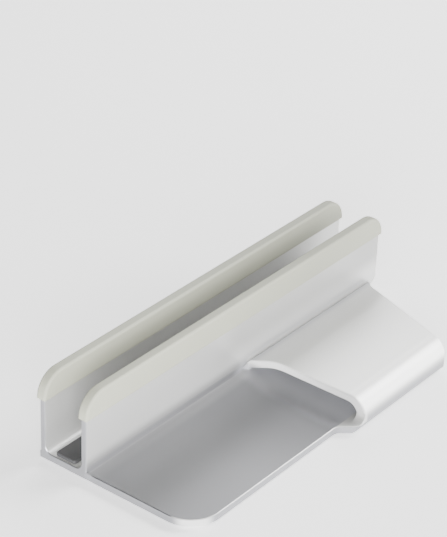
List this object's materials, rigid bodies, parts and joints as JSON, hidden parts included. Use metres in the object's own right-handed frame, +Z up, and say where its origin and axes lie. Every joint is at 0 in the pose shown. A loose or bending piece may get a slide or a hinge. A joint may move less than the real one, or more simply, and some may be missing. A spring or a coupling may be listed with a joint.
{
  "type": "vertical laptop stand",
  "caption": "Upright aluminium stand with two silicone-capped fins around a slot, a flat tray base and a hollow wing, made to hold a closed laptop on its long edge.",
  "frame": {"origin": "on the table, under the middle of the stand's outer box", "axes": "+X along the slot towards the wing's end, -Y from the slot out to the wing's nose, +Z up"},
  "size_m": [0.2516, 0.1108, 0.0506],
  "materials": {
    "anodised_aluminium": "fine bead-blasted satin, clear anodised",
    "grey_silicone": "matte",
    "dark_silicone": "matte"
  },
  "bodies": {
    "root": {"stand_body": "anodised_aluminium", "front_fin_cap": "grey_silicone", "rear_fin_cap": "grey_silicone", "slot_floor_pad": "dark_silicone", "foot_near_front": "dark_silicone", "foot_near_rear": "dark_silicone", "foot_far_front": "dark_silicone", "foot_far_rear": "dark_silicone"}
  },
  "joints": []
}
